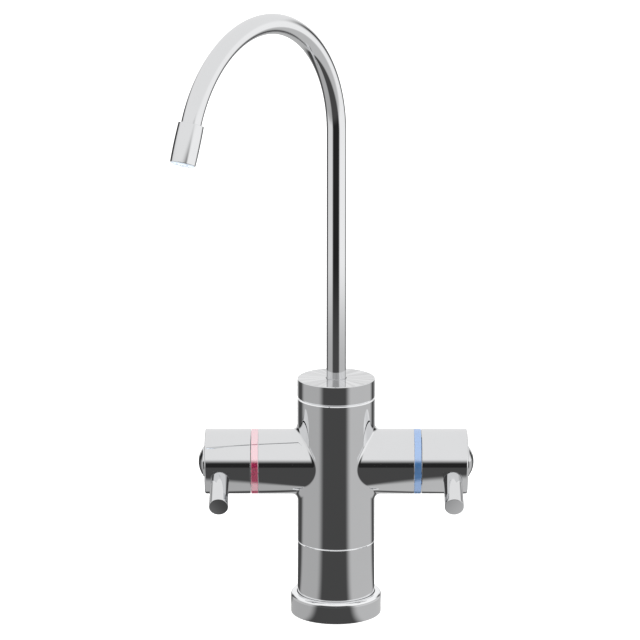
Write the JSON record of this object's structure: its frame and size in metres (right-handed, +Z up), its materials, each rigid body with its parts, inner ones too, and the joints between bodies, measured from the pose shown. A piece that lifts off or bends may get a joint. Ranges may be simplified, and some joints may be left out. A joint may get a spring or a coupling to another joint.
{
  "type": "boiling water tap",
  "caption": "Deck-mounted chrome tap with a swivelling swan-neck spout and a quarter-turn lever on each side of a round body, one ringed red and one blue.",
  "frame": {"origin": "centre of the flat face that stands on the deck, on the axis of the round body", "axes": "+Z up along the body; the arms lie along X, with the hot side at -X and the cold side at +X; the user stands at -Y"},
  "size_m": [0.1793, 0.1599, 0.3815],
  "materials": {
    "polished_chrome": "bright chrome plate on brass, mirror polished",
    "satin_chrome": "chrome plate over a face turned to a fine radial sheen",
    "raw_brass": "turned brass with fine tool rings",
    "red_ring": "red anodised aluminium, glossy",
    "blue_ring": "blue anodised aluminium, glossy",
    "stainless": "plain stainless steel",
    "black_rubber": "black moulded rubber, dull",
    "white_ceramic": "lapped alumina, off-white",
    "white_plastic": "natural low-friction plastic",
    "pale_insert": "pale blue-white moulded plastic"
  },
  "bodies": {
    "tap_body": {"base_flange": "polished_chrome", "base_gasket": "black_rubber", "inlet_block": "raw_brass", "block_screws": "stainless", "port_seals": "black_rubber", "sleeve_seals": "black_rubber", "lower_sleeve": "polished_chrome", "valve_body": "polished_chrome", "top_cap": "satin_chrome", "lower_slide_ring": "white_plastic", "upper_slide_ring": "white_plastic", "swivel_stop_pin": "stainless", "hot_ring": "red_ring", "cold_ring": "blue_ring", "hot_cartridge": "raw_brass", "cold_cartridge": "raw_brass", "hot_seat_seal": "black_rubber", "cold_seat_seal": "black_rubber", "hot_cartridge_seal": "black_rubber", "cold_cartridge_seal": "black_rubber", "hot_fixed_disc": "white_ceramic", "cold_fixed_disc": "white_ceramic"},
    "spout": {"spout_tube": "polished_chrome", "spout_hub": "raw_brass", "hub_seals": "black_rubber", "outlet_collar": "polished_chrome", "outlet_seal": "black_rubber", "flow_straightener": "pale_insert"},
    "hot_handle": {"hot_moving_disc": "white_ceramic", "hot_spindle": "raw_brass", "hot_spindle_seals": "black_rubber", "hot_circlip": "stainless", "hot_knob": "polished_chrome", "hot_lever": "polished_chrome", "hot_handle_screw": "stainless", "hot_end_cap": "polished_chrome"},
    "cold_handle": {"cold_moving_disc": "white_ceramic", "cold_spindle": "raw_brass", "cold_spindle_seals": "black_rubber", "cold_circlip": "stainless", "cold_knob": "polished_chrome", "cold_lever": "polished_chrome", "cold_handle_screw": "stainless", "cold_end_cap": "polished_chrome"}
  },
  "joints": [
    {"name": "spout_swivel", "type": "hinge", "parent": "tap_body", "child": "spout", "pos_m": [0, 0, 0.14], "axis": [0, 0, 1], "range_deg": [-55, 125]},
    {"name": "hot_lever_turn", "type": "hinge", "parent": "tap_body", "child": "hot_handle", "pos_m": [0, 0, 0.096], "axis": [-1, 0, 0], "range_deg": [0, 90]},
    {"name": "cold_lever_turn", "type": "hinge", "parent": "tap_body", "child": "cold_handle", "pos_m": [0, 0, 0.096], "axis": [-1, 0, 0], "range_deg": [0, 90]}
  ]
}
